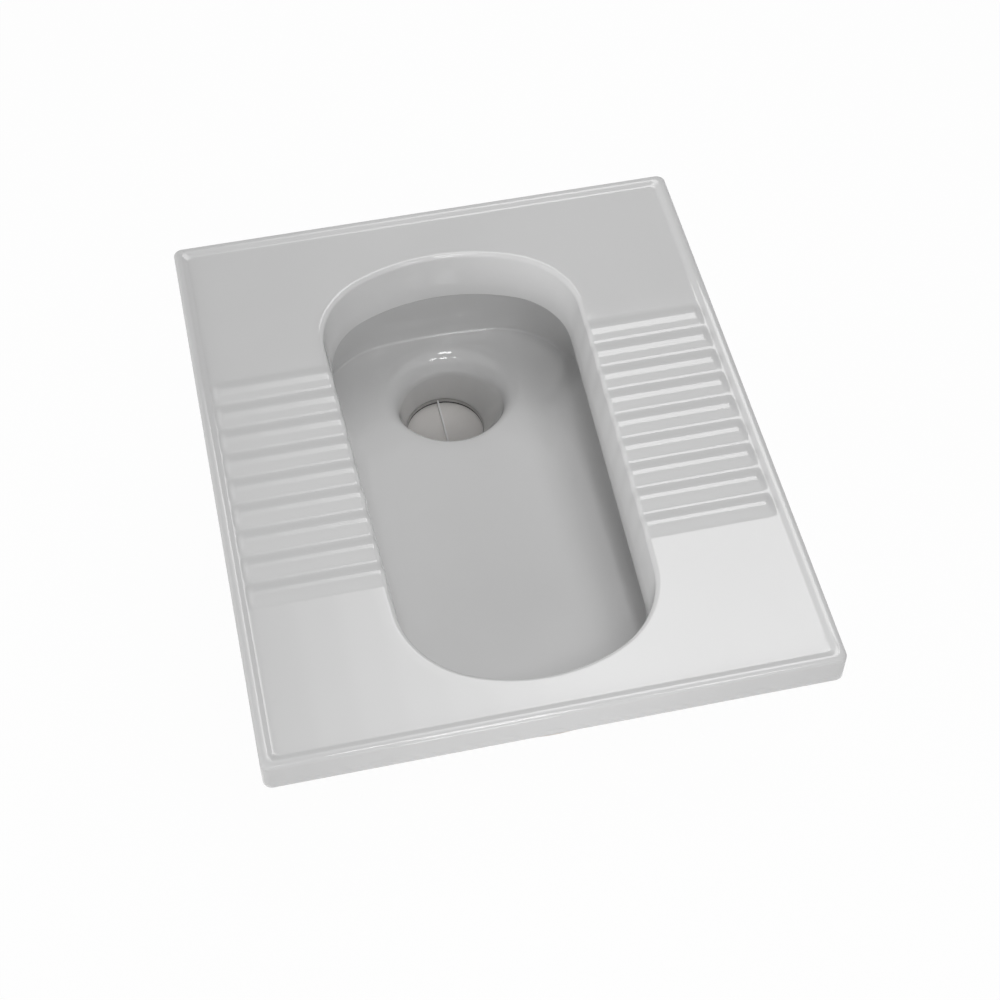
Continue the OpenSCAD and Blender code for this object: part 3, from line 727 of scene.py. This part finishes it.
def addBox(low, high):
    deselectAll()
    middle = [(a + b) / 2 * mm for a, b in zip(low, high)]
    bpy.ops.mesh.primitive_cube_add(size=1, location=middle)
    box = bpy.context.object
    box.scale = [(b - a) * mm for a, b in zip(low, high)]
    setDown(box)
    return box


def addBarrel(radius, startY, endY, softEnd=0.0):
    # a cylinder along the flush pipe's way, with its rear edge rounded
    deselectAll()
    place = (0, (startY + endY) / 2 * mm, at(inlet["axisDepth"]) * mm)
    bpy.ops.mesh.primitive_cylinder_add(vertices=inlet["barrelSides"], radius=radius * mm,
                                        depth=(endY - startY) * mm, location=place,
                                        rotation=(math.pi / 2, 0, 0))
    barrel = bpy.context.object
    setDown(barrel)
    if softEnd:
        bevelWhere(barrel, lambda a, b: min(a.y, b.y) > endY * mm - closeTo, softEnd)
    return barrel


def bevelWhere(piece, test, width):
    # rounds the edges whose two ends pass the test
    editAll(piece)
    bpy.ops.mesh.select_mode(type="EDGE")
    bpy.ops.mesh.select_all(action="DESELECT")
    leaveEdit()
    points = piece.data.vertices
    for edge in piece.data.edges:
        a, b = (points[number].co for number in edge.vertices)
        edge.select = test(a, b)
    bpy.ops.object.mode_set(mode="EDIT")
    bpy.ops.mesh.bevel(offset=width * mm, segments=inlet["roundSegments"], affect="EDGES")
    leaveEdit()


def wallPrism():
    # what lies forward of the rim's wall, as an upright prism
    wall = outline(openingArcs, inlet["wallGrow"])
    wall = wall[(wall[:, 1] > 0) & (np.abs(wall[:, 0]) < inlet["half"])]
    right, left = wall[0][0] + inlet["prismOver"], wall[-1][0] - inlet["prismOver"]
    frontY = inlet["prismFront"]
    corners = [(right, wall[0][1]), *wall, (left, wall[-1][1]), (left, frontY), (right, frontY)]
    deselectAll()
    bpy.ops.mesh.primitive_circle_add(vertices=len(corners), fill_type="NGON")
    prism = bpy.context.object
    for vertex, (x, y) in zip(prism.data.vertices, corners):
        vertex.co = (x * mm, y * mm, inlet["prismLow"] * mm)
    editAll(prism)
    rise = (inlet["prismHigh"] - inlet["prismLow"]) * mm
    bpy.ops.mesh.extrude_region_move(TRANSFORM_OT_translate={"value": (0, 0, rise)})
    closeSkin(prism)
    return prism


def combine(body, tool, operation):
    pick(body)
    boolean = body.modifiers.new("combine", "BOOLEAN")
    boolean.operation = operation
    boolean.object = tool
    boolean.solver = "MANIFOLD"
    bpy.ops.object.modifier_apply(modifier=boolean.name)
    bpy.data.objects.remove(tool)


def inletBlock():
    # its lower part is a plain box, and its upper part follows the rim's wall
    half, over, rear = inlet["half"], inlet["over"], inlet["rear"]
    block = addBox((-half, inlet["front"], inlet["low"]), (half, rear, inlet["blockTop"]))
    upper = addBox((-half, inlet["upperFront"], inlet["upperLow"]), (half, rear, inlet["high"]))
    behind = addBox((-half - over, inlet["toolFront"], inlet["toolLow"]),
                    (half + over, inlet["toolRear"], inlet["toolHigh"]))
    combine(behind, wallPrism(), "DIFFERENCE")
    combine(upper, behind, "INTERSECT")
    combine(block, upper, "UNION")

    def outside(a, b):
        atBack = min(a.y, b.y) > rear * mm - closeTo
        atFoot = max(a.z, b.z) < inlet["low"] * mm + closeTo
        upright = abs(a.x - b.x) < closeTo and abs(abs(a.x) - half * mm) < closeTo
        return (atBack and upright) or (atBack and atFoot) or (atFoot and upright)

    bevelWhere(block, outside, inlet["round"])
    return block


def addInlet(body):
    # the hollow block behind the rim, and the horn that the flush pipe enters
    block = inletBlock()
    horn = addBarrel(inlet["hornRadius"], inlet["hornStart"], inlet["hornEnd"],
                     inlet["hornRound"])
    combine(block, horn, "UNION")
    collar = addBarrel(inlet["collarRadius"], inlet["collarStart"], inlet["collarEnd"],
                       inlet["collarRound"])
    combine(block, collar, "UNION")
    combine(body, block, "UNION")
    chamber = addBox((-inlet["chamberHalf"], inlet["chamberFront"], inlet["chamberLow"]),
                     (inlet["chamberHalf"], inlet["chamberRear"], inlet["chamberHigh"]))
    bore = addBarrel(inlet["bore"], inlet["boreStart"], inlet["hornEnd"] + inlet["over"])
    combine(chamber, bore, "UNION")
    combine(body, chamber, "DIFFERENCE")


def makePan():
    body = wrapGrid("glazedPan", panRings())
    addInlet(body)
    smoothBelow(body, 40)
    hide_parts("pan")
    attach(body, "pan_and_trap")
    return body


spring = {
    # millimetres; a coil on the hinge pin with one straight leg under the leaf
    "radius": 2.4, "length": 7, "turns": 5, "wire": 0.8, "leg": 16, "legRise": 0.5,
    "pinDepth": 244.7, "fromMiddle": 20, "turnSteps": 24, "legSteps": 8,
}


def springPath():
    radius, length, perTurn = spring["radius"], spring["length"], spring["turnSteps"]
    count = spring["turns"] * perTurn
    path = []
    for i in range(count + 1):
        a = math.radians(90 - 360 * i / perTurn)
        path.append((radius * math.cos(a), length * (i / count - 0.5), radius * math.sin(a)))
    for share in steps(spring["legSteps"], 1) + [1.0]:
        path.append((-spring["leg"] * share, length / 2, radius + spring["legRise"] * share))
    return path


def makeSpring(name, node, body, turn):
    curve = bpy.data.curves.new(name, "CURVE")
    curve.dimensions = "3D"
    curve.bevel_depth = spring["wire"] / 2 * mm
    curve.bevel_resolution = 3
    curve.use_fill_caps = True
    path = springPath()
    line = curve.splines.new("POLY")
    line.points.add(len(path) - 1)
    pinZ = at(spring["pinDepth"])
    for point, (x, y, z) in zip(line.points, path):
        fromPin = turn * (y + spring["fromMiddle"])
        point.co = (turn * x * mm, (pan["outletY"] + fromPin) * mm, (pinZ + z) * mm, 1)
    piece = bpy.data.objects.new(name, curve)
    bpy.context.scene.collection.objects.link(piece)
    pick(piece)
    bpy.ops.object.convert(target="MESH")
    piece = bpy.context.object
    closeSkin(piece)
    smoothBelow(piece, 50)
    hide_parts(node)
    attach(piece, body)
    return piece


camera = {"place": (-0.23485, -1.13375, 1.7237), "azimuth": -12.40, "elevation": 52.72,
          "lens": 72.4, "sensor": 36.0}


def makeCamera():
    deselectAll()
    turn = (math.radians(90 - camera["elevation"]), 0, math.radians(camera["azimuth"]))
    bpy.ops.object.camera_add(location=camera["place"], rotation=turn)
    made = bpy.context.object
    made.data.lens = camera["lens"]
    made.data.sensor_width = camera["sensor"]
    bpy.context.scene.camera = made


lamps = {
    # name: place, point aimed at, width, length, watts
    "softbox": ((0.475, 0.795, 1.496), (0.475, 0.7951, 0.29), 0.45, 0.75, 4.88),
    "overhead": ((0.05, -0.5, 2.2), (0.05, 0.05, 0.2), 0.4, 0.4, 6.3),
    "spotMiddle": ((0.04, -0.7, 1.0), (0.0, -0.2, 0.2), 0.2, 0.16, 1.4),
    "spotRight": ((0.34, -0.66, 1.08), (0.0, -0.2, 0.2), 0.16, 0.24, 1.1),
    "spotLeft": ((-0.27, -0.66, 1.08), (0.0, -0.2, 0.2), 0.14, 0.12, 0.4),
    "leftSide": ((-2.4, 0.0, 0.8), (0.0, 0.0, 0.25), 1.2, 0.8, 27.0),
    "farFront": ((0.0, -2.6, 1.2), (0.0, 0.0, 0.29), 1.6, 1.6, 14.0),
    "frontRight": ((1.8, -1.8, 1.4), (0.0, 0.0, 0.29), 1.6, 1.6, 4.0),
    "lowFront": ((-0.03, -0.66, 0.16), (0.0, -0.3, 0.27), 0.16, 0.1, 0.35),
}
unseenLamps = ("leftSide", "farFront", "frontRight")  # these show in no reflection
feather = {"strips": 8, "width": 0.07, "from": 0.25}
studio = {"worldLevel": 0.09, "floorGlow": 0.97, "floorGrey": 0.8, "floorSize": 40,
          "floorZ": -0.0005}


def makeLamp(name, place, target, width, height, watts):
    deselectAll()
    bpy.ops.object.light_add(type="AREA", location=place)
    made = bpy.context.object
    made.name = name
    way = np.array(target) - np.array(place)
    flat = math.hypot(way[0], way[1])
    made.rotation_euler = (math.atan2(flat, -way[2]), 0, math.atan2(-way[0], way[1]))
    made.data.shape = "RECTANGLE"
    made.data.size = width
    made.data.size_y = height
    made.data.energy = watts
    made.visible_camera = False
    made.visible_glossy = name not in unseenLamps


def featherSoftbox():
    # the softbox fades out to its left, in strips that are dimmer and dimmer
    place, target, width, length, watts = lamps["softbox"]
    strip = feather["width"]
    for i in range(feather["strips"]):
        share = 1 - (i + 0.5) / feather["strips"]
        x = feather["from"] - strip * (i + 0.5)
        makeLamp("feather" + str(i), (x, place[1], place[2]), (x, target[1], target[2]),
                 strip, length, watts * share * strip / width)


def makeWorld():
    # white where it is seen or mirrored, and dim as a light
    world = bpy.data.worlds.new("studio")
    world.use_nodes = True
    bpy.context.scene.world = world
    nodes, dim = NodeSet(world.node_tree), studio["worldLevel"]
    background = world.node_tree.nodes["Background"]
    background.inputs["Color"].default_value = grey(1.0)
    nodes.plug(background.inputs["Strength"], dim + nodes.seenRays() * (1 - dim))


def makeFloor():
    deselectAll()
    bpy.ops.mesh.primitive_plane_add(size=studio["floorSize"], location=(0, 0, studio["floorZ"]))
    floor = bpy.context.object
    floor.name = "studioFloor"
    finish = Finish("paleFloor", Roughness=0.9)
    finish.feed("Base Color", grey(studio["floorGrey"]))
    plain, glow = Signal(finish, finish.shader.outputs[0]), finish.node("Emission")
    shown = finish.node("MixShader", {}, {0: finish.seenRays() * studio["floorGlow"],
                                          1: plain, 2: glow})
    # seen from below, the floor gives way to the underside of the pan
    fromBelow = finish.node("NewGeometry", output="Backfacing")
    clear = finish.node("BsdfTransparent")
    surface = finish.node("MixShader", {}, {0: fromBelow, 1: shown, 2: clear})
    finish.plug(finish.tree.nodes["Material Output"].inputs["Surface"], surface)
    paint(floor, finish)


makeCamera()
makeFloor()
makeWorld()
for lampName, lampValues in lamps.items():
    makeLamp(lampName, *lampValues)
featherSoftbox()
print("stage ready")

finishes = {"china": glazedChina(), "rubber": mouldedRubber(), "steel": drawnSteel()}
for plasticName, plasticValues in plastics.items():
    finishes[plasticName] = mouldedPlastic(plasticName, *plasticValues)
print("finishes ready")

panPiece = makePan()
paint(panPiece, finishes["china"])
print("pan ready", len(panPiece.data.polygons))

for springValues in (("leftSpring", "left_flap_spring", "left_leaf", 1),
                     ("rightSpring", "right_flap_spring", "right_leaf", -1)):
    paint(makeSpring(*springValues), finishes["steel"])
print("springs ready")

nodeFinishes = {
    "inlet_seal": "rubber", "outlet_seal": "rubber", "trap_o_rings": "rubber",
    "seat_gasket": "rubber", "trap_body": "trapPlasticPaintedShade", "bridge_bar": "barPlastic",
    "left_flap": "flapPlastic", "right_flap": "flapPlastic", "pin_spacers": "spacerPlastic",
    "flap_pin": "steel", "clamp_band": "steel", "clamp_housing": "steel", "clamp_screw": "steel",
}
for node, finishName in nodeFinishes.items():
    paint(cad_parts[node], finishes[finishName])
print("other pieces dressed", len(nodeFinishes))
bpy.context.scene.view_settings.view_transform = "Standard"
